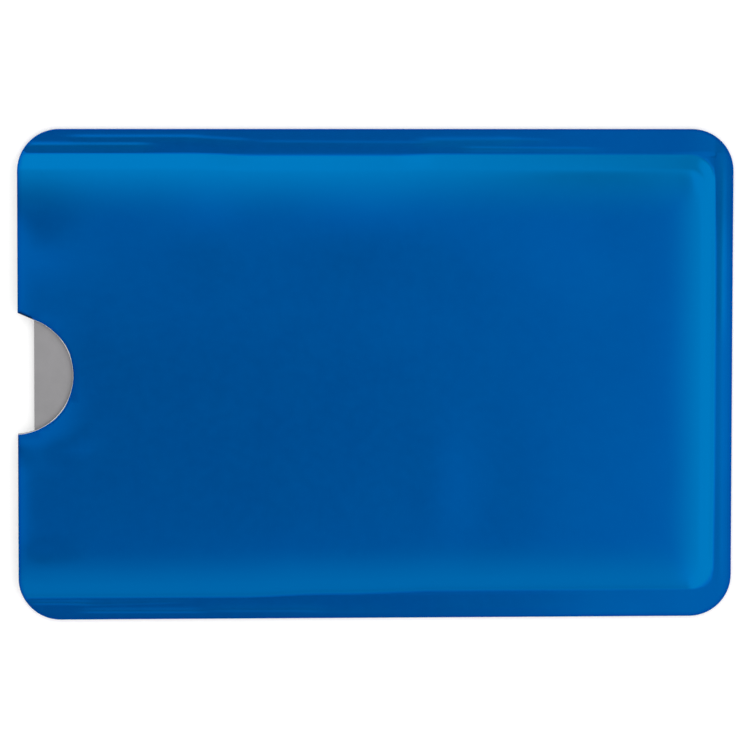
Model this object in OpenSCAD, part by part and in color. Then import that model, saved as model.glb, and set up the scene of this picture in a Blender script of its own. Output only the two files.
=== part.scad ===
// A flat card sleeve of foil laminate with one blank card in it.
// Two laminate panels are heat-sealed along both long sides and one end. The open end at -X is the
// mouth, where a thumb notch is cut through both panels. The sleeve lies on its back panel: Z = 0 is
// the back's outer face, and X = Y = 0 is the middle of the sleeve's outline. Sizes are in millimetres.

/* [Card] */
// Length of the card that the sleeve is cut for
card_l = 85.6; // [70:0.1:110]
// Width of the card
card_w = 53.98; // [40:0.01:70]
// Thickness of the whole card
card_t = 0.76; // [0.5:0.01:1.5]
// Thickness of the clear overlay on each face of the card
overlay_t = 0.04; // [0.02:0.01:0.12]
// Radius of the card's corners
card_corner_r = 3.18; // [2:0.01:6]

/* [Pocket] */
// How far the card's edge lies inside the mouth
mouth_inset = 2.1; // [1:0.1:5]
// Free length between the card's end and the end seal
end_slack = 2.2; // [1.6:0.1:5]
// Free width between each long side of the card and its seal
side_slack = 1.31; // [0.8:0.01:3]
// Gap between the card and the lining that it lies on
card_gap = 0.03; // [0.01:0.01:0.2]
// Least clearance between the card's upper edges and the sloping front lining
edge_gap = 0.03; // [0.01:0.01:0.3]
// Distance over which the front rises from its seals to its flat middle
front_run = 4.4; // [3:0.1:10]
// Depth of the back panel's dish below the seals
back_dish = 0.33; // [0.1:0.01:0.6]
// How far outside the card's edge the back panel is down at its flat
back_margin = 0.11; // [0.05:0.01:0.4]

/* [Seals] */
// Width of the seal along each long side
side_seal_w = 3.2; // [1.5:0.1:8]
// Width of the seal across the closed end
end_seal_w = 2.1; // [1.5:0.1:8]
// Radius of the sleeve's outer corners
corner_r = 5.4; // [2:0.1:8]

/* [Laminate] */
// Thickness of the outer printed film
film_t = 0.05; // [0.02:0.01:0.2]
// Thickness of the paper core
paper_t = 0.1; // [0.05:0.01:0.4]
// Thickness of the aluminium foil that shields the card
foil_t = 0.03; // [0.02:0.01:0.1]
// Thickness of the heat-seal lining
lining_t = 0.04; // [0.02:0.01:0.2]

/* [Thumb notch] */
// Radius of the thumb notch
notch_r = 7.55; // [5:0.05:12]
// Depth of the notch, measured in from the mouth
notch_depth = 7.05; // [3:0.05:11]

/* [Hidden] */
$fn = 96;

film_blue = [0.02, 0.38, 0.69];
paper_white = [0.93, 0.93, 0.9];
foil_silver = [0.75, 0.76, 0.78];
lining_grey = [0.6, 0.61, 0.63];
card_grey = [0.58, 0.58, 0.59];
overlay_grey = [0.66, 0.66, 0.67];

// The pocket and the sleeve follow from the card, its slack and the seals
pocket_half_w = card_w / 2 + side_slack;
sleeve_l = mouth_inset + card_l + end_slack + end_seal_w;
sleeve_w = 2 * (pocket_half_w + side_seal_w);
mouth_x = -sleeve_l / 2;
pocket_end_x = sleeve_l / 2 - end_seal_w;
pocket_corner_r = card_corner_r + side_slack;
least_slack = min(side_slack, end_slack);
card_x = mouth_x + mouth_inset;
notch_x = mouth_x + notch_depth - notch_r;
// Half size of the cutting solids, well past the sleeve on every side
far = sleeve_l + sleeve_w;

// Centre of each inner corner of the pocket, at +Y and -Y
corner_x = pocket_end_x - pocket_corner_r;
corner_y = pocket_half_w - pocket_corner_r;

// Flats that each inner corner is rounded with, and the ways that they and the long side face
corner_flats = 3;
corner_turns = [for (i = [1:corner_flats + 1]) 90 * i / (corner_flats + 1)];

// Heights of the layers' faces over the lining's inner face
lining_top = lining_t;
foil_top = lining_top + foil_t;
paper_top = foil_top + paper_t;
panel_t = paper_top + film_t;

// Heights: the seals' mid plane, and the card that lies on the back lining
seal_z = panel_t + back_dish;
card_z = panel_t + card_gap;
card_top_z = card_z + card_t;

// The front's inner face clears the card's upper edge by edge_gap, and levels off at front_run
edge_rise = card_top_z + edge_gap - seal_z;
crown_h = edge_rise / (1 - pow(1 - least_slack / front_run, 3));
rise_steps = [for (i = [1:3]) least_slack + (front_run - least_slack) * i / 3];
front_steps = concat([0, least_slack / 2, least_slack], rise_steps);
front_profile = [for (d = front_steps) [d, crown_h * (1 - pow(1 - d / front_run, 3))]];

// The back's inner face reaches its flat just outside the card
back_run = least_slack - back_margin;
back_profile = [for (s = [0, 0.5, 1]) [back_run * s, back_dish * (1 - pow(1 - s, 2))]];

// Solid below a profile that rises inwards from one straight edge of the pocket, raised by lift.
// The edge touches the circle of the inner corner at the given side, and faces angle degrees off +X.
module ridge(profile, lift, side, angle) {
    top = profile[len(profile) - 1][1] + lift;
    upper = concat(
        [[far, lift]],
        [for (p = profile) [pocket_corner_r - p[0], p[1] + lift]],
        [[-far, top]]
    );
    translate([corner_x, side * corner_y, 0])
        rotate([90, 0, side * angle])
            linear_extrude(2 * far, center = true)
                polygon(concat([[-far, -far], [far, -far]], upper));
}

// Solid below a panel's face, with the seals' mid plane at Z = 0
module under_face(profile, lift) {
    intersection() {
        ridge(profile, lift, 1, 0);
        intersection_for(side = [-1, 1])
            intersection_for(angle = corner_turns)
                ridge(profile, lift, side, angle);
    }
}

// Rectangle with round corners
module round_plate(length, width, radius, height) {
    linear_extrude(height)
        union() {
            square([length - 2 * radius, width], center = true);
            square([length, width - 2 * radius], center = true);
            for (x = [-1, 1], y = [-1, 1])
                translate([x * (length / 2 - radius), y * (width / 2 - radius)])
                    circle(radius);
        }
}

// The thumb notch, with straight sides where it is deeper than its radius
module notch_cut() {
    translate([notch_x, 0, -far])
        cylinder(r = notch_r, h = 2 * far);
    if (notch_x > mouth_x)
        translate([mouth_x - far, -notch_r, -far])
            cube([notch_x - mouth_x + far, 2 * notch_r, 2 * far]);
}

// The outline that both panels are cut to, thumb notch included
module cut_outline() {
    difference() {
        translate([0, 0, -far / 2])
            round_plate(sleeve_l, sleeve_w, corner_r, far);
        notch_cut();
    }
}

// One layer of a panel, between two heights over the lining's inner face
module panel_layer(profile, low, high) {
    intersection() {
        cut_outline();
        difference() {
            under_face(profile, high);
            under_face(profile, low);
        }
    }
}

module front_layer(low, high) {
    translate([0, 0, seal_z])
        panel_layer(front_profile, low, high);
}

module back_layer(low, high) {
    translate([0, 0, seal_z])
        mirror([0, 0, 1])
            panel_layer(back_profile, low, high);
}

// A slice of the card, between two heights over its lower face
module card_slice(low, high) {
    translate([card_x + card_l / 2, 0, card_z + low])
        round_plate(card_l, card_w, card_corner_r, high - low);
}

module front_print_film() {
    color(film_blue) front_layer(paper_top, panel_t);
}

module front_paper_core() {
    color(paper_white) front_layer(foil_top, paper_top);
}

module front_shield_foil() {
    color(foil_silver) front_layer(lining_top, foil_top);
}

module front_seal_lining() {
    color(lining_grey) front_layer(0, lining_top);
}

module back_print_film() {
    color(film_blue) back_layer(paper_top, panel_t);
}

module back_paper_core() {
    color(paper_white) back_layer(foil_top, paper_top);
}

module back_shield_foil() {
    color(foil_silver) back_layer(lining_top, foil_top);
}

module back_seal_lining() {
    color(lining_grey) back_layer(0, lining_top);
}

module card_core() {
    color(card_grey) card_slice(overlay_t, card_t - overlay_t);
}

module card_front_overlay() {
    color(overlay_grey) card_slice(card_t - overlay_t, card_t);
}

module card_back_overlay() {
    color(overlay_grey) card_slice(0, overlay_t);
}

front_print_film();
front_paper_core();
front_shield_foil();
front_seal_lining();
back_print_film();
back_paper_core();
back_shield_foil();
back_seal_lining();
card_core();
card_front_overlay();
card_back_overlay();
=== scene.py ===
"""Looks for the foil card sleeve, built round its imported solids.

Lengths and heights in this file are in millimetres, in the frame of the solids: X runs from the mouth to
the sealed end, Y across the card and Z out of the front panel. Meshes are scaled to metres when made.
"""

import math

import bpy
import numpy as np
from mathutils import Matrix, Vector
from mathutils.geometry import delaunay_2d_cdt


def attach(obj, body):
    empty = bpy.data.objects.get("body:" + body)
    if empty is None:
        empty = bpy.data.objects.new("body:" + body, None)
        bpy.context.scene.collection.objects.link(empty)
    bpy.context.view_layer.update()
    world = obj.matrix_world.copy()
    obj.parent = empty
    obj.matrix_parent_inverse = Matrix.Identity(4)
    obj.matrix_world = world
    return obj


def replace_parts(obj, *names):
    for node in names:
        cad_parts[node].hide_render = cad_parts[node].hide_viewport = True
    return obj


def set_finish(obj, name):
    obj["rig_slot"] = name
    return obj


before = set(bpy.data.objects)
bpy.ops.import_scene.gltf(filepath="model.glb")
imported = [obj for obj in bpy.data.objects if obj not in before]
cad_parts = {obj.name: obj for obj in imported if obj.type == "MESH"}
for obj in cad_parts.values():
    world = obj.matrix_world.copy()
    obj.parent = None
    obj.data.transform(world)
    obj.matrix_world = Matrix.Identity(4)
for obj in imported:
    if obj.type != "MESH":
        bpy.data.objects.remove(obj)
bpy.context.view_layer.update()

MM = 0.001

# Sizes repeated from the solids
HALF_L = 46.0
HALF_W = 31.5
CORNER_R = 5.4
NOTCH_X = -46.5
NOTCH_R = 7.55
CARD_X = (-43.9, 41.7)
CARD_HALF_W = 26.99
CARD_CORNER_R = 3.18
CARD_Z = 0.25
CARD_T = 0.76
OVERLAY_T = 0.04
SEAL_Z = 0.55
LINING_T = 0.04
FOIL_T = 0.03
PAPER_T = 0.1
FILM_T = 0.05
BACK_DISH = 0.33
BACK_RUN = 1.1


def smooth(value, low, high):
    """Smooth step from 0 at low to 1 at high."""
    t = np.clip((value - low) / (high - low), 0.0, 1.0)
    return t * t * (3.0 - 2.0 * t)


def between(value, low, high, soft):
    """1 between low and high, with soft ends."""
    return smooth(value, low - soft, low + soft) * (1.0 - smooth(value, high - soft, high + soft))


# The seams, where the panels part from each other, waver a little, as in the photograph

def top_seam(x):
    """Y of the seam along the upper side."""
    return 28.34 - 0.25 * smooth(x, -23.5, -15.5) + 0.15 * smooth(x, 2.5, 7.5)


def bottom_seam(x):
    """Y of the seam along the lower side."""
    return -28.7 + 0.35 * smooth(x, -17, -7) + 0.3 * smooth(x, -4, 8)


def end_seam(y):
    """X of the seam at the sealed end."""
    return 43.76 - 0.1 * smooth(np.abs(y), 10, 24)


# Radius of the seams' corners at the sealed end
SEAM_CORNER_R_TOP = 3.4
SEAM_CORNER_R_BOTTOM = 3.2


def corner_distance(to_side, to_end, radius):
    """Distance inside two seams that meet in a round corner."""
    over_side = radius - to_side
    over_end = radius - to_end
    past = np.hypot(np.maximum(over_side, 0), np.maximum(over_end, 0))
    return radius - past - np.minimum(np.maximum(over_side, over_end), 0)


def seam_distance(x, y):
    """Distance inside the pocket's seams, less than 0 on the seals."""
    to_end = end_seam(y) - x
    at_top = corner_distance(top_seam(x) - y, to_end, SEAM_CORNER_R_TOP)
    at_bottom = corner_distance(y - bottom_seam(x), to_end, SEAM_CORNER_R_BOTTOM)
    return np.minimum(at_top, at_bottom)


# Drape of the front panel: a steep part next to the seams, then a gentle part towards the flat middle
DRAPE_RISE = 0.68
STEEP_SHARE = 0.76
STEEP_RUN = 1.75
SEAM_FILLET = 0.12
GENTLE_RUN_TOP = 8.5
GENTLE_RUN_BOTTOM = 7.0
GENTLE_RUN_END = 7.5

# The steep part is lower at both inner corners of the sealed end: by this share, round this place
TUCK_TOP = 0.27
TUCK_BOTTOM = 0.15
TUCK_X = 42.8
TUCK_Y = 27.0
TUCK_REACH = 2.4


def ease(distance, run, power):
    """Rise from 0 to 1 over a run, steepest at its start."""
    return 1.0 - (1.0 - np.clip(distance / run, 0.0, 1.0)) ** power


def fillet(distance):
    """Distance inside the seams that grows slowly at first, so that the panel leaves them in a fillet."""
    inside = np.maximum(distance, 0.0)
    return inside**2 / (inside + SEAM_FILLET)


def gentle_drape(x, y):
    """Gentle part of the drape, from 0 at the seams to 1 in the flat middle."""
    return (
        ease(top_seam(x) - y, GENTLE_RUN_TOP, 3)
        * ease(y - bottom_seam(x), GENTLE_RUN_BOTTOM, 3)
        * ease(end_seam(y) - x, GENTLE_RUN_END, 3)
    )


def tuck(x, y):
    """Share that the steep part lacks at the inner corners of the sealed end."""
    most = np.where(y > 0, TUCK_TOP, TUCK_BOTTOM)
    return most * np.exp(-(((x - TUCK_X) ** 2 + (np.abs(y) - TUCK_Y) ** 2) / TUCK_REACH**2))


# Broad hills and hollows of the front panel: x, y, reach along x, reach along y, height
HILLS = [
    (-44.0, 19.0, 6.0, 5.0, -0.085),
    (-21.5, 18.0, 4.5, 5.0, 0.046),
    (-1.0, 18.0, 9.0, 5.0, 0.06),
    (9.0, 17.0, 5.0, 5.0, 0.015),
    (-24.0, 4.0, 12.0, 7.0, 0.02),
    (7.0, 10.0, 8.0, 6.0, -0.03),
    (28.0, 18.0, 8.0, 6.5, -0.055),
    (26.0, 17.5, 11.0, 10.5, -0.017),
    (34.0, 27.5, 13.0, 2.3, 0.14),
    (41.3, 26.3, 1.8, 2.8, 0.09),
    (36.0, 3.0, 5.0, 10.0, 0.015),
    (-11.5, -16.0, 3.0, 7.0, 0.012),
    (7.5, -14.0, 3.0, 9.0, 0.018),
    (12.0, -14.0, 3.0, 9.0, -0.012),
    (15.0, -15.0, 4.0, 8.0, -0.03),
    (-14.0, -20.0, 10.0, 6.0, 0.02),
]

# Long wrinkles pressed into the side seals, each steep on its outer side and gentle on its inner side:
# distance from the outer edge, drift of that distance along x, width, first x, last x, height
TOP_WRINKLES = [
    (2.1, 0.0, 0.3, -45.5, -29.0, 0.02),
    (1.07, 0.0, 0.23, -39.0, -23.0, 0.014),
    (1.35, 0.05, 0.24, -23.5, -16.5, 0.01),
    (1.8, 0.006, 0.2, -15.0, 7.0, 0.007),
    (1.55, -0.007, 0.4, 5.5, 17.5, 0.016),
    (1.45, 0.03, 0.23, 16.5, 22.0, 0.01),
    (2.55, 0.005, 0.19, 11.0, 28.0, 0.014),
]
BOTTOM_WRINKLES = [
    (2.15, -0.006, 0.16, -45.0, -37.0, 0.011),
    (2.1, 0.026, 0.21, -38.5, -25.0, 0.007),
    (1.03, -0.005, 0.15, -38.0, -22.5, 0.012),
    (1.15, -0.004, 0.23, -21.5, -7.0, 0.009),
    (0.95, 0.014, 0.2, -9.0, 2.0, 0.004),
    (1.5, 0.01, 0.4, 8.0, 24.0, 0.004),
]
# How many times wider a wrinkle's inner side is than its outer side, and how softly it ends
WRINKLE_LEAN = 2.8
WRINKLE_FADE = 2.0

# Ridge along the end seal
END_RIDGE_X = 44.55
END_RIDGE_REACH = 0.45

# Distances from the outer edges over which the side seals' own shape fades out inside the pocket
SEAL_FADE_TOP = (2.9, 3.6)
SEAL_FADE_BOTTOM = (2.7, 3.4)

# Slope and width of the side seals' upward curl
CURL_TOP = 0.018
CURL_BOTTOM = 0.02
CURL_WIDTH_TOP = 3.1
CURL_WIDTH_BOTTOM = 2.9

# Lift of the corner between the upper side and the sealed end: its slope, and where it starts and is full
LIFT_SLOPE = 0.0105
LIFT_START_X = 28.0
LIFT_FULL_X = 40.0


def wrinkles(x, from_edge, table):
    """Height of one side seal's wrinkles."""
    total = np.zeros_like(x)
    for centre, drift, width, first, last, height in table:
        across = from_edge - centre - drift * (x - (first + last) / 2)
        across = across / np.where(across > 0, WRINKLE_LEAN * width, width)
        total += height * np.exp(-(across**2)) * between(x, first, last, WRINKLE_FADE)
    return total


def on_side_seals(y):
    """1 on the upper seal and 1 on the lower seal, each fading to 0 inside the pocket."""
    return 1.0 - smooth(HALF_W - y, *SEAL_FADE_TOP), 1.0 - smooth(HALF_W + y, *SEAL_FADE_BOTTOM)


def seal_ridges(x, y):
    """Wrinkles of the side seals and the ridge along the end seal, fading out inside the pocket."""
    in_top, in_bottom = on_side_seals(y)
    top = wrinkles(x, HALF_W - y, TOP_WRINKLES) * in_top
    bottom = wrinkles(x, HALF_W + y, BOTTOM_WRINKLES) * in_bottom
    # The end seal's ridge is highest between y = 10 and y = 16
    end = 0.006 + 0.014 * smooth(y, 2, 10) - 0.006 * smooth(y, 16, 22)
    across_end = (x - END_RIDGE_X) / END_RIDGE_REACH
    return top + bottom + end * np.exp(-(across_end**2)) * between(y, -26, 28, 4)


def seal_height(x, y):
    """Height of the seals' mid plane, whose curl, lift and twist fade out inside the pocket."""
    from_top = HALF_W - y
    from_bottom = HALF_W + y
    in_top, in_bottom = on_side_seals(y)
    curl_top = CURL_TOP * np.clip(CURL_WIDTH_TOP - from_top, 0, CURL_WIDTH_TOP) * in_top
    # The lower curl fades out towards the sealed end
    curled = CURL_BOTTOM * (1.0 - smooth(x, 16, 36))
    curl_bottom = curled * np.clip(CURL_WIDTH_BOTTOM - from_bottom, 0, CURL_WIDTH_BOTTOM) * in_bottom
    # The lift follows the upper seal, and reaches further down on the end seal
    at_corner = in_top + (1.0 - smooth(from_top, 2, 16) - in_top) * smooth(x, 43.1, 43.9)
    lift_run = LIFT_FULL_X - LIFT_START_X
    bend = np.clip(x - LIFT_START_X, 0, lift_run) ** 2 / (2 * lift_run)
    lift = LIFT_SLOPE * (bend + np.clip(x - LIFT_FULL_X, 0, None)) * at_corner
    # The end seal slopes up near the upper corner and a little down at its middle
    twist = (0.016 * smooth(y, 12, 22) - 0.007 * between(y, -14, 7, 5)) * np.clip(x - 43.6, 0, None)
    return SEAL_Z + seal_ridges(x, y) + curl_top + curl_bottom + lift + twist


# The mouth's lips beside the notch, and the notch's lower edge, dip a little and then flare up at the cut
LIP_DIP = 0.07
UPPER_FLARE = 0.145
UPPER_FLARE_RUN = 3.6
LOWER_FLARE = 0.13
LOWER_FLARE_RUN = 3.1
NOTCH_FLARE = 0.13
NOTCH_FLARE_RUN = 4.5


def front_height(x, y):
    """Height of the front panel's inner face."""
    distance = seam_distance(x, y)
    steep = ease(fillet(distance), STEEP_RUN, 2) * (1.0 - tuck(x, y))
    rise = DRAPE_RISE * steep * (STEEP_SHARE + (1.0 - STEEP_SHARE) * gentle_drape(x, y))
    inside = smooth(distance, 0, 3)
    for centre_x, centre_y, reach_x, reach_y, height in HILLS:
        rise = rise + inside * height * np.exp(
            -(((x - centre_x) / reach_x) ** 2) - ((y - centre_y) / reach_y) ** 2
        )
    from_mouth = x + HALF_L
    upper_lip = between(y, 6, 18.5, 3)
    lower_lip = between(y, -22.5, -10.5, 2)
    rise = rise - LIP_DIP * (upper_lip + lower_lip) * (1.0 - smooth(from_mouth, 2, 10))
    rise = rise + UPPER_FLARE * upper_lip * (1.0 - ease(from_mouth, UPPER_FLARE_RUN, 2))
    rise = rise + LOWER_FLARE * lower_lip * (1.0 - ease(from_mouth, LOWER_FLARE_RUN, 2))
    from_notch = np.hypot(x - NOTCH_X, y) - NOTCH_R
    below_notch = smooth(-y, -4, 4) * (1.0 - smooth(-y, 8.5, 11))
    rise = rise - LIP_DIP * below_notch * (1.0 - smooth(from_notch, 3, 9))
    rise = rise + NOTCH_FLARE * below_notch * (1.0 - ease(from_notch, NOTCH_FLARE_RUN, 2))
    return seal_height(x, y) + rise


def back_height(x, y):
    """Height of the back panel's inner face."""
    return seal_height(x, y) - BACK_DISH * ease(seam_distance(x, y), BACK_RUN, 2)


# The notch's upper end is cut straight, between these two points
SNIP_INNER = (-44.0, 7.12)
SNIP_OUTER = (-46.0, 8.0)


def notch_distance(x, y):
    """Distance outside the notch."""
    run = SNIP_INNER[0] - SNIP_OUTER[0]
    fall = SNIP_OUTER[1] - SNIP_INNER[1]
    across = ((x - SNIP_INNER[0]) * fall + (y - SNIP_INNER[1]) * run) / math.hypot(run, fall)
    round_part = np.hypot(x - NOTCH_X, y) - NOTCH_R
    return np.where((x < SNIP_INNER[0]) & (y > 0), across, round_part)


def painted_highlight(x, y):
    """Share of the paler blue painted as highlight: most on the drape near the seams, and on the seals'
    wrinkles, where these catch the light.
    """
    near_top = 1.0 - smooth(top_seam(x) - y, 1, 9)
    near_bottom = 0.6 * (1.0 - smooth(y - bottom_seam(x), 1, 7))
    near_end = 1.0 - smooth(end_seam(y) - x, 1, 7)
    in_pocket = smooth(seam_distance(x, y), -0.1, 0.2)
    on_seal = 0.1 + 0.6 * np.clip(seal_ridges(x, y) / 0.02, 0.0, 1.0)
    return on_seal + (np.maximum(np.maximum(near_top, near_bottom), near_end) - on_seal) * in_pocket


def edge_distance(x, y):
    """Distance inside the panels' cut edge."""
    corner_x = np.abs(x) - (HALF_L - CORNER_R)
    corner_y = np.abs(y) - (HALF_W - CORNER_R)
    outside = np.hypot(np.maximum(corner_x, 0), np.maximum(corner_y, 0))
    box = CORNER_R - outside - np.minimum(np.maximum(corner_x, corner_y), 0)
    return np.minimum(box, notch_distance(x, y))


# Angle between points on round corners and on the notch, in degrees
ARC_STEP = 5.0
NOTCH_STEP = 3.0

# Least distance of a point on a straight edge from the edge's ends
MARK_CLEAR = 0.05


def arc(centre_x, centre_y, radius, start, end):
    """Points on an arc without its last one. Angles are in degrees."""
    count = round((end - start) / ARC_STEP)
    angles = np.radians(np.linspace(start, end, count + 1)[:-1])
    return [(centre_x + radius * math.cos(a), centre_y + radius * math.sin(a)) for a in angles]


def notch_arc(setback, start, end):
    """Points on the notch's round edge, set back by setback, and by more where its paper shows."""
    count = round((start - end) / NOTCH_STEP)
    points = []
    for angle in np.linspace(start, end, count + 1)[:-1]:
        shows = between(angle, 17, 38, 6) + between(angle, -52, -27, 6)
        radius = NOTCH_R + setback * (1.0 + 1.4 * shows)
        turn = math.radians(angle)
        points.append((NOTCH_X + radius * math.cos(turn), radius * math.sin(turn)))
    return points


def line(start, end, marks, axis):
    """Points on a straight line along one axis: its start, and every mark that is clear of its ends."""
    low, high = sorted((start[axis], end[axis]))
    inner = [m for m in marks if low + MARK_CLEAR < m < high - MARK_CLEAR]
    if start[axis] > end[axis]:
        inner.reverse()
    points = [start]
    for m in inner:
        points.append((m, start[1]) if axis == 0 else (start[0], m))
    return points


def cut_edge(inset, notch_inset, columns, rows):
    """Points round the cut edge, anticlockwise, set back by inset, and by notch_inset at the notch."""
    x = HALF_L - inset
    y = HALF_W - inset
    radius = CORNER_R - inset
    cx = HALF_L - CORNER_R
    cy = HALF_W - CORNER_R
    notch = NOTCH_R + notch_inset
    notch_y = math.sqrt(notch**2 - (-x - NOTCH_X) ** 2)
    lower_turn = math.degrees(math.asin(notch_y / notch))
    upper_turn = math.degrees(math.acos((SNIP_INNER[0] - NOTCH_X) / NOTCH_R))
    snip_y = SNIP_OUTER[1] + notch_inset
    points = line((-x, -notch_y), (-x, -cy), rows, 1)
    points += arc(-cx, -cy, radius, 180, 270)
    points += line((-cx, -y), (cx, -y), columns, 0)
    points += arc(cx, -cy, radius, 270, 360)
    points += line((x, -cy), (x, cy), rows, 1)
    points += arc(cx, cy, radius, 0, 90)
    points += line((cx, y), (-cx, y), columns, 0)
    points += arc(-cx, cy, radius, 90, 180)
    points += line((-x, cy), (-x, snip_y), rows, 1)
    points.append((-x, snip_y))
    points += notch_arc(notch_inset, upper_turn, -lower_turn)
    return points


def stops(*spans):
    """Grid lines from (first, last, spacing) spans that follow each other."""
    values = []
    for first, last, spacing in spans:
        count = max(1, round((last - first) / spacing))
        values += list(np.linspace(first, last, count + 1)[:-1])
    return values + [spans[-1][1]]


# The triangulation keeps only what is inside the cut edge, and joins points that are this close
INSIDE_ONLY = 1
MERGE_DISTANCE = 0.00001


def sheet_plan(inset, notch_inset, columns, rows, rings, clear):
    """Flat triangulation inside the cut edge: points and triangles.

    Rings of points follow the edge, and grid points fill the rest, clear of the rings.
    """
    edge = cut_edge(inset, notch_inset, columns, rows)
    points = list(edge)
    for ring in rings:
        points += cut_edge(inset + ring, notch_inset + ring, columns, rows)
    grid_x, grid_y = np.meshgrid(columns, rows)
    keep = edge_distance(grid_x, grid_y) > notch_inset + clear
    points += list(zip(grid_x[keep], grid_y[keep]))
    flat = [Vector((float(a), float(b))) for a, b in points]
    made = delaunay_2d_cdt(flat, [], [list(range(len(edge)))], INSIDE_ONLY, MERGE_DISTANCE)
    verts = np.array([(v.x, v.y) for v in made[0]])
    return verts, [tuple(f) for f in made[2]]


# Width of the deeper blue band along the cut rim, and the share of its depth that the side seals have
DEEP_RIM_WIDTH = 0.32
DEEP_SEAL_SHARE = 0.3


def deep_blue(x, y):
    """Share of the deeper blue: most at the cut rim, and a little on the side seals, fading out along them
    towards the sealed end.
    """
    rim = np.exp(-((edge_distance(x, y) / DEEP_RIM_WIDTH) ** 2))
    first = np.where(y > 0, 38.0, 16.0)
    last = np.where(y > 0, 44.0, 30.0)
    on_seal = 1.0 - smooth(seam_distance(x, y), -0.1, 0.2)
    return np.maximum(rim, DEEP_SEAL_SHARE * on_seal * (1.0 - smooth(x, first, last)))


def boundary_edges(faces):
    """Directed edges that only one face has."""
    directed = {(f[i], f[(i + 1) % len(f)]) for f in faces for i in range(len(f))}
    return [(a, b) for a, b in directed if (b, a) not in directed]


def solid_from_plan(name, plan, low, high, rim_drop, rim_on_low):
    """Closed mesh between two heights over a flat plan. The rim of the outer face drops by rim_drop."""
    verts, faces = plan
    x = verts[:, 0]
    y = verts[:, 1]
    bottom = low(x, y)
    top = high(x, y)
    rim = boundary_edges(faces)
    on_rim = np.zeros(len(x))
    on_rim[[a for a, _ in rim]] = 1.0
    if rim_on_low:
        bottom = bottom + rim_drop * on_rim
    else:
        top = top - rim_drop * on_rim
    count = len(x)
    upper = np.stack([x, y, top], 1)
    lower = np.stack([x, y, bottom], 1)
    coords = np.concatenate([upper, lower]) * MM
    polygons = list(faces)
    polygons += [tuple(count + i for i in reversed(f)) for f in faces]
    polygons += [(count + a, count + b, b, a) for a, b in rim]
    mesh = bpy.data.meshes.new(name)
    mesh.from_pydata(coords.tolist(), [], polygons)
    shade = np.ones(len(polygons), dtype=bool)
    shade[2 * len(faces):] = False
    mesh.polygons.foreach_set("use_smooth", shade)
    add_attribute(mesh, "deep_blue", np.tile(deep_blue(x, y), 2))
    # Where the paler blue is painted as highlight, on the drape near the seams and on the seals' wrinkles
    add_attribute(mesh, "painted_highlight", np.tile(painted_highlight(x, y), 2))
    mesh.validate()
    mesh.update()
    piece = bpy.data.objects.new(name, mesh)
    bpy.context.scene.collection.objects.link(piece)
    return piece


def add_attribute(mesh, name, values):
    """Store one number per point, for the materials."""
    attribute = mesh.attributes.new(name, "FLOAT", "POINT")
    attribute.data.foreach_set("value", np.asarray(values, dtype=np.float32))


# Plans: a fine one for the printed films, which show, and a coarse one for the layers between them
FINE_COLUMNS = stops((-46, -42, 0.4), (-42, 38, 1.0), (38, 43.5, 0.3), (43.5, 46, 0.13))
FINE_SIDE = [(18, 25, 0.7), (25, 27.7, 0.27), (27.7, 31.5, 0.12)]
FINE_ROWS = stops(
    *[(-b, -a, s) for a, b, s in reversed(FINE_SIDE)],
    (-18, 18, 1.2),
    *FINE_SIDE,
)
COARSE_COLUMNS = stops(
    (-46, -42, 1.0),
    (-42, 38, 2.5),
    (38, 43.2, 0.25),
    (43.2, 44.2, 0.1),
    (44.2, 46, 0.45),
)
COARSE_SIDE = [(18, 25, 1.5), (25, 27.4, 0.4), (27.4, 29, 0.1), (29, 31.5, 0.5)]
COARSE_ROWS = stops(
    *[(-b, -a, s) for a, b, s in reversed(COARSE_SIDE)],
    (-18, 18, 3.0),
    *COARSE_SIDE,
)

# The film is set back from the cut edge of the layers below it, by more at the notch, so that paper shows
FILM_INSET = 0.02
FILM_NOTCH_INSET = 0.045

# How far the film's outer face drops at its cut rim
FILM_RIM_DROP = 0.02

# Rings of points inside the cut edge, and how far from the edge the grid starts
FILM_RINGS = [0.05, 0.13, 0.25]
FILM_CLEAR = 0.32
LAYER_RINGS = [0.3]
LAYER_CLEAR = 0.5

film_plan = sheet_plan(FILM_INSET, FILM_NOTCH_INSET, FINE_COLUMNS, FINE_ROWS, FILM_RINGS, FILM_CLEAR)
layer_plan = sheet_plan(0.0, 0.0, COARSE_COLUMNS, COARSE_ROWS, LAYER_RINGS, LAYER_CLEAR)


def offset(height, amount):
    """The height function, raised by amount."""
    return lambda x, y: height(x, y) + amount


# Layers from the inside out: name, which is also the slot, then plan and thickness
LAYERS = [
    ("seal_lining", layer_plan, LINING_T),
    ("shield_foil", layer_plan, FOIL_T),
    ("paper_core", layer_plan, PAPER_T),
    ("print_film", film_plan, FILM_T),
]

pieces = []


def make_panel(side, height, up):
    """All four layers of one panel, from its inner face out. Up is 1 for the front, -1 for the back."""
    at = 0.0
    for layer, plan, thickness in LAYERS:
        inner = offset(height, up * at)
        outer = offset(height, up * (at + thickness))
        low, high = (inner, outer) if up > 0 else (outer, inner)
        drop = FILM_RIM_DROP if layer == "print_film" else 0.0
        piece = solid_from_plan(f"{side}_{layer}_sheet", plan, low, high, drop, up < 0)
        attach(piece, "sleeve")
        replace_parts(piece, f"{side}_{layer}")
        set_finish(piece, layer)
        pieces.append(piece)
        at += thickness


make_panel("front", front_height, 1)
make_panel("back", back_height, -1)


def card_outline(inset):
    """Points round the card's edge, anticlockwise, set back by inset."""
    x0 = CARD_X[0] + inset
    x1 = CARD_X[1] - inset
    y = CARD_HALF_W - inset
    radius = CARD_CORNER_R - inset
    points = arc(x0 + radius, -y + radius, radius, 180, 270)
    points += arc(x1 - radius, -y + radius, radius, 270, 360)
    points += arc(x1 - radius, y - radius, radius, 0, 90)
    points += arc(x0 + radius, y - radius, radius, 90, 180)
    return points


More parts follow.
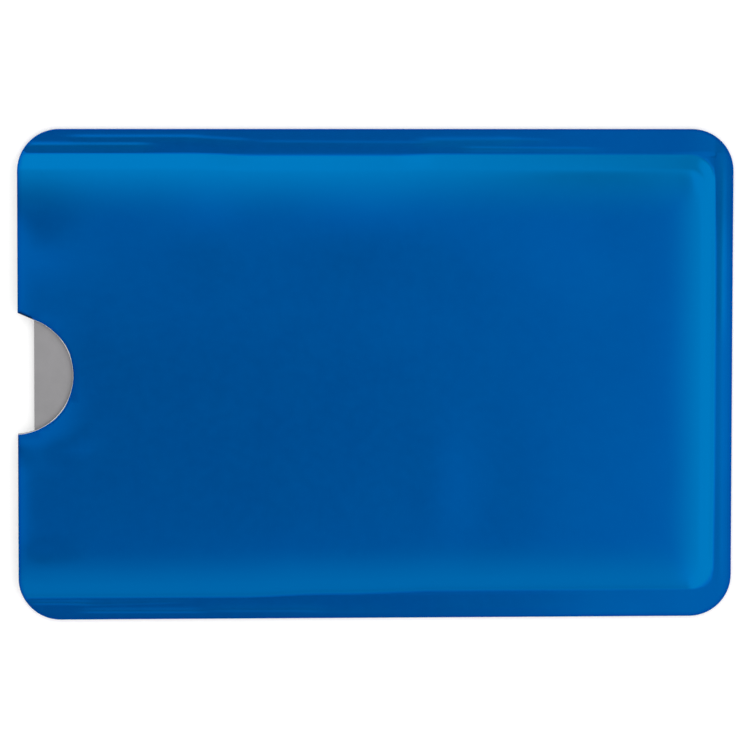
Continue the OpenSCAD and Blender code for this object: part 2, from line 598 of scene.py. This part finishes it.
def card_slice(name, slot, rings):
    """Stacked outlines of the card, each with an inset and a height, closed by a face at both ends."""
    loops = [card_outline(inset) for inset, _ in rings]
    size = len(loops[0])
    coords = [(px * MM, py * MM, z * MM) for loop, (_, z) in zip(loops, rings) for px, py in loop]
    polygons = [tuple(reversed(range(size)))]
    for level in range(len(rings) - 1):
        base = level * size
        for i in range(size):
            j = (i + 1) % size
            polygons.append((base + i, base + j, base + size + j, base + size + i))
    polygons.append(tuple(range((len(rings) - 1) * size, len(rings) * size)))
    mesh = bpy.data.meshes.new(name)
    mesh.from_pydata(coords, [], polygons)
    mesh.validate()
    mesh.update()
    piece = bpy.data.objects.new(name, mesh)
    bpy.context.scene.collection.objects.link(piece)
    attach(piece, "card")
    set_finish(piece, slot)
    pieces.append(piece)
    return piece


# The card's edges are a little rounded: inset, and distance from the card's face
CARD_ROUNDING = [(0.0, OVERLAY_T), (0.01, 0.02), (0.05, 0.005), (0.12, 0.0)]

card_top = CARD_Z + CARD_T
core_rings = [(0.0, CARD_Z + OVERLAY_T), (0.0, card_top - OVERLAY_T)]
front_rings = [(inset, card_top - depth) for inset, depth in CARD_ROUNDING]
back_rings = [(inset, CARD_Z + depth) for inset, depth in reversed(CARD_ROUNDING)]

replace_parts(card_slice("card_core_plate", "card_core", core_rings), "card_core")
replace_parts(card_slice("card_front_overlay_sheet", "card_overlay", front_rings), "card_front_overlay")
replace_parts(card_slice("card_back_overlay_sheet", "card_overlay", back_rings), "card_back_overlay")


# Materials

class Graph:
    """A material's node tree, with one Principled shader."""

    def __init__(self, name):
        self.material = bpy.data.materials.new(name)
        self.material.use_nodes = True
        self.tree = self.material.node_tree
        self.shader = self.tree.nodes["Principled BSDF"]
        self.coords = self.node("ShaderNodeTexCoord").outputs["Object"]

    def node(self, kind, **settings):
        """New node of a kind, with its settings."""
        made = self.tree.nodes.new(kind)
        for key, value in settings.items():
            setattr(made, key, value)
        return made

    def link(self, source, target):
        self.tree.links.new(source, target)

    def set(self, **values):
        """Constants on the shader's own sockets."""
        for key, value in values.items():
            self.shader.inputs[key.replace("_", " ")].default_value = value

    def noise(self, scale, detail, along=(1.0, 1.0, 1.0), roughness=0.5):
        """Noise over the object's own coordinates, with scale times along cycles per metre on each axis."""
        mapping = self.node("ShaderNodeMapping")
        mapping.inputs["Scale"].default_value = along
        self.link(self.coords, mapping.inputs["Vector"])
        noise = self.node("ShaderNodeTexNoise")
        noise.inputs["Scale"].default_value = scale
        noise.inputs["Detail"].default_value = detail
        noise.inputs["Roughness"].default_value = roughness
        self.link(mapping.outputs["Vector"], noise.inputs["Vector"])
        return noise.outputs["Fac"]

    def spread(self, value, low, high, to_low, to_high):
        """Value remapped from low..high to to_low..to_high."""
        made = self.node("ShaderNodeMapRange")
        for key, number in zip(("From Min", "From Max", "To Min", "To Max"), (low, high, to_low, to_high)):
            made.inputs[key].default_value = number
        self.link(value, made.inputs["Value"])
        return made.outputs["Result"]

    def mix(self, factor, first, second):
        """Colour mix. First and second are colours or outputs."""
        made = self.node("ShaderNodeMix", data_type="RGBA")
        self.link(factor, made.inputs["Factor"])
        for slot, value in ((6, first), (7, second)):
            if isinstance(value, tuple):
                made.inputs[slot].default_value = (*value, 1.0)
            else:
                self.link(value, made.inputs[slot])
        return made.outputs[2]

    def attribute(self, name):
        """Number stored on the mesh's points."""
        return self.node("ShaderNodeAttribute", attribute_name=name).outputs["Fac"]

    def bump(self, height, distance):
        """Relief that is distance high, in metres."""
        made = self.node("ShaderNodeBump")
        made.inputs["Distance"].default_value = distance
        made.inputs["Strength"].default_value = 1.0
        self.link(height, made.inputs["Height"])
        return made.outputs["Normal"]


# The print's blues: two that mix in a faint mottle, a paler one painted as highlight where the drape and
# the seals' wrinkles catch the light, and the deep one
BLUES = ((0.0, 0.109, 0.425), (0.0, 0.113, 0.432))
PAINTED_HIGHLIGHT_BLUE = (0.0, 0.158, 0.437)
DEEP_BLUE = (0.0, 0.054, 0.331)


def film_material():
    g = Graph("blue_metallic_film")
    g.set(Metallic=1.0, Specular_Tint=(0.3, 0.6, 1.0, 1.0))
    mottle = g.spread(g.noise(220, 3.0), 0.35, 0.65, 0.0, 1.0)
    flat = g.mix(mottle, *BLUES)
    # Painted highlight: the paler blue on the drape near the seams and on the seals' wrinkles
    body = g.mix(g.attribute("painted_highlight"), flat, PAINTED_HIGHLIGHT_BLUE)
    deep = g.spread(g.attribute("deep_blue"), 0.0, 1.0, 0.0, 0.8)
    colour = g.mix(deep, body, DEEP_BLUE)
    g.link(colour, g.shader.inputs["Base Color"])
    g.link(g.spread(g.noise(900, 3.0), 0.3, 0.7, 0.14, 0.155), g.shader.inputs["Roughness"])
    g.link(g.bump(g.noise(1400, 2.0), 0.0000008), g.shader.inputs["Normal"])
    return g.material


def paper_material():
    g = Graph("white_paper_core")
    g.set(Roughness=0.9)
    fibres = g.noise(6000, 4.0, (1.0, 1.0, 3.0))
    g.link(g.mix(fibres, (0.74, 0.73, 0.7), (0.86, 0.85, 0.82)), g.shader.inputs["Base Color"])
    g.link(g.bump(fibres, 0.00002), g.shader.inputs["Normal"])
    return g.material


def foil_material():
    g = Graph("rolled_aluminium_foil")
    g.set(Metallic=1.0)
    rolling = g.noise(4000, 2.0, (0.05, 1.0, 1.0))
    g.link(g.mix(rolling, (0.78, 0.79, 0.8), (0.88, 0.89, 0.9)), g.shader.inputs["Base Color"])
    g.link(g.spread(rolling, 0.3, 0.7, 0.22, 0.34), g.shader.inputs["Roughness"])
    g.link(g.bump(rolling, 0.000003), g.shader.inputs["Normal"])
    return g.material


def lining_material():
    g = Graph("satin_seal_lining")
    g.set(Metallic=0.6)
    cloud = g.noise(300, 3.0)
    g.link(g.mix(cloud, (0.42, 0.43, 0.45), (0.5, 0.51, 0.53)), g.shader.inputs["Base Color"])
    g.link(g.spread(cloud, 0.3, 0.7, 0.38, 0.5), g.shader.inputs["Roughness"])
    g.link(g.bump(g.noise(2500, 3.0), 0.000004), g.shader.inputs["Normal"])
    return g.material


def card_material(name, dark, light):
    g = Graph(name)
    blotch = g.spread(g.noise(350, 3.0, roughness=0.6), 0.3, 0.7, 0.0, 1.0)
    g.link(g.mix(blotch, dark, light), g.shader.inputs["Base Color"])
    g.link(g.spread(g.noise(1500, 3.0), 0.3, 0.7, 0.42, 0.52), g.shader.inputs["Roughness"])
    g.link(g.bump(g.noise(9000, 2.0), 0.000003), g.shader.inputs["Normal"])
    return g.material


MATERIALS = {
    "print_film": film_material(),
    "paper_core": paper_material(),
    "shield_foil": foil_material(),
    "seal_lining": lining_material(),
    "card_core": card_material("grey_card_core", (0.27, 0.265, 0.27), (0.3, 0.295, 0.3)),
    "card_overlay": card_material("grey_card_overlay", (0.276, 0.272, 0.28), (0.305, 0.298, 0.309)),
}
# Each piece has the material of its slot
for piece in pieces:
    piece.data.materials.append(MATERIALS[piece["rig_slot"]])


# Camera: nearly overhead, a little towards the mouth and the top edge, as in the photograph
CAMERA_PLACE = (-36.59, 41.64, 600.0)
CAMERA_TURN = (-3.982, -3.469, 0.074)
SENSOR_WIDTH = 36.0
PICTURE_WIDTH_PX = 750.0
# Scale of the picture at a depth of 600 mm
PX_PER_MM = 7.8033
SCALE_DEPTH = 600.0

camera = bpy.data.objects.new("camera", bpy.data.cameras.new("camera"))
bpy.context.scene.collection.objects.link(camera)
camera.data.sensor_width = SENSOR_WIDTH
camera.data.lens = PX_PER_MM * SCALE_DEPTH / PICTURE_WIDTH_PX * SENSOR_WIDTH
camera.data.clip_start = 0.01
camera.data.clip_end = 20.0
camera.location = [v * MM for v in CAMERA_PLACE]
camera.rotation_euler = [math.radians(v) for v in CAMERA_TURN]
bpy.context.scene.camera = camera


# White floor: its own diffuse colour keeps the shadow, and a little glow lifts the rest to plain white.
# Half its width and its height are in metres.
FLOOR_HALF = 3.0
FLOOR_Z = -0.00002
FLOOR_COLOUR = (0.9, 0.9, 0.9, 1.0)
FLOOR_GLOW = 0.28


def make_floor():
    signs = [(-1, -1), (1, -1), (1, 1), (-1, 1)]
    corners = [(a * FLOOR_HALF, b * FLOOR_HALF, FLOOR_Z) for a, b in signs]
    mesh = bpy.data.meshes.new("floor")
    mesh.from_pydata(corners, [], [(0, 1, 2, 3)])
    floor = bpy.data.objects.new("floor", mesh)
    bpy.context.scene.collection.objects.link(floor)
    material = bpy.data.materials.new("white_floor")
    material.use_nodes = True
    tree = material.node_tree
    tree.nodes.clear()
    out = tree.nodes.new("ShaderNodeOutputMaterial")
    add = tree.nodes.new("ShaderNodeAddShader")
    diffuse = tree.nodes.new("ShaderNodeBsdfDiffuse")
    diffuse.inputs["Color"].default_value = FLOOR_COLOUR
    glow = tree.nodes.new("ShaderNodeEmission")
    path = tree.nodes.new("ShaderNodeLightPath")
    seen = tree.nodes.new("ShaderNodeMath")
    seen.operation = "MAXIMUM"
    also = tree.nodes.new("ShaderNodeMath")
    also.operation = "MAXIMUM"
    level = tree.nodes.new("ShaderNodeMath")
    level.operation = "MULTIPLY"
    level.inputs[1].default_value = FLOOR_GLOW
    tree.links.new(path.outputs["Is Camera Ray"], seen.inputs[0])
    tree.links.new(path.outputs["Is Glossy Ray"], seen.inputs[1])
    tree.links.new(seen.outputs[0], also.inputs[0])
    tree.links.new(path.outputs["Is Transmission Ray"], also.inputs[1])
    tree.links.new(also.outputs[0], level.inputs[0])
    tree.links.new(level.outputs[0], glow.inputs["Strength"])
    tree.links.new(diffuse.outputs[0], add.inputs[0])
    tree.links.new(glow.outputs[0], add.inputs[1])
    tree.links.new(add.outputs[0], out.inputs["Surface"])
    mesh.materials.append(material)


make_floor()


# Soft studio: a white world, brighter beyond the top edge, the sealed end and the bottom edge than
# overhead, a little dimmer beyond the mouth, and dimmer still near the horizon
OVERHEAD_LEVEL = 0.403


def tilt(degrees):
    """Component of a direction that is tilted from overhead."""
    return math.sin(math.radians(degrees))


def make_world():
    world = bpy.data.worlds.new("studio")
    bpy.context.scene.world = world
    world.use_nodes = True
    tree = world.node_tree
    tree.nodes.clear()
    out = tree.nodes.new("ShaderNodeOutputWorld")
    background = tree.nodes.new("ShaderNodeBackground")
    background.inputs["Color"].default_value = (1.0, 1.0, 1.0, 1.0)
    coords = tree.nodes.new("ShaderNodeTexCoord")
    axes = tree.nodes.new("ShaderNodeSeparateXYZ")
    tree.links.new(coords.outputs["Generated"], axes.inputs[0])
    dx, dy, dz = axes.outputs

    def ramp(source, first, last, low, high):
        """Smooth ramp from low to high while a direction's component goes from first to last."""
        made = tree.nodes.new("ShaderNodeMapRange")
        made.interpolation_type = "SMOOTHSTEP"
        for key, number in zip(("From Min", "From Max", "To Min", "To Max"), (first, last, low, high)):
            made.inputs[key].default_value = number
        tree.links.new(source, made.inputs["Value"])
        return made.outputs["Result"]

    def combine(operation, first, second):
        """Result of one operation on two outputs, or on an output and a number."""
        made = tree.nodes.new("ShaderNodeMath")
        made.operation = operation
        for slot, value in enumerate((first, second)):
            if isinstance(value, float):
                made.inputs[slot].default_value = value
            else:
                tree.links.new(value, made.inputs[slot])
        return made.outputs[0]

    # The top's glow weakens towards the sealed end, and the end's glow towards the top
    top = ramp(dy, tilt(-5.3), tilt(3.0), 0.0, 0.86)
    top = combine("MULTIPLY", top, ramp(dx, tilt(4.0), tilt(7.0), 1.0, 0.5))
    end = ramp(dx, tilt(1.0), tilt(12.5), 0.0, 0.82)
    end = combine("MULTIPLY", end, ramp(dy, tilt(3.0), tilt(12.0), 1.0, 0.6))
    low_end = ramp(dx, tilt(8.0), tilt(40.0), 0.0, 0.82)
    bottom = ramp(combine("MULTIPLY", dy, -1.0), tilt(4.8), tilt(8.5), 0.0, 0.52)
    mouth = ramp(combine("MULTIPLY", dx, -1.0), tilt(2.0), tilt(25.0), 0.0, -0.13)
    level = combine("MAXIMUM", combine("MAXIMUM", top, end), combine("MAXIMUM", low_end, bottom))
    level = combine("ADD", combine("ADD", level, mouth), OVERHEAD_LEVEL)
    # Dimmer near the horizon
    level = combine("MULTIPLY", level, ramp(dz, 0.1, 0.6, 0.4, 1.0))
    tree.links.new(level, background.inputs["Strength"])
    tree.links.new(background.outputs[0], out.inputs["Surface"])


make_world()

bpy.context.scene.view_settings.view_transform = "Standard"
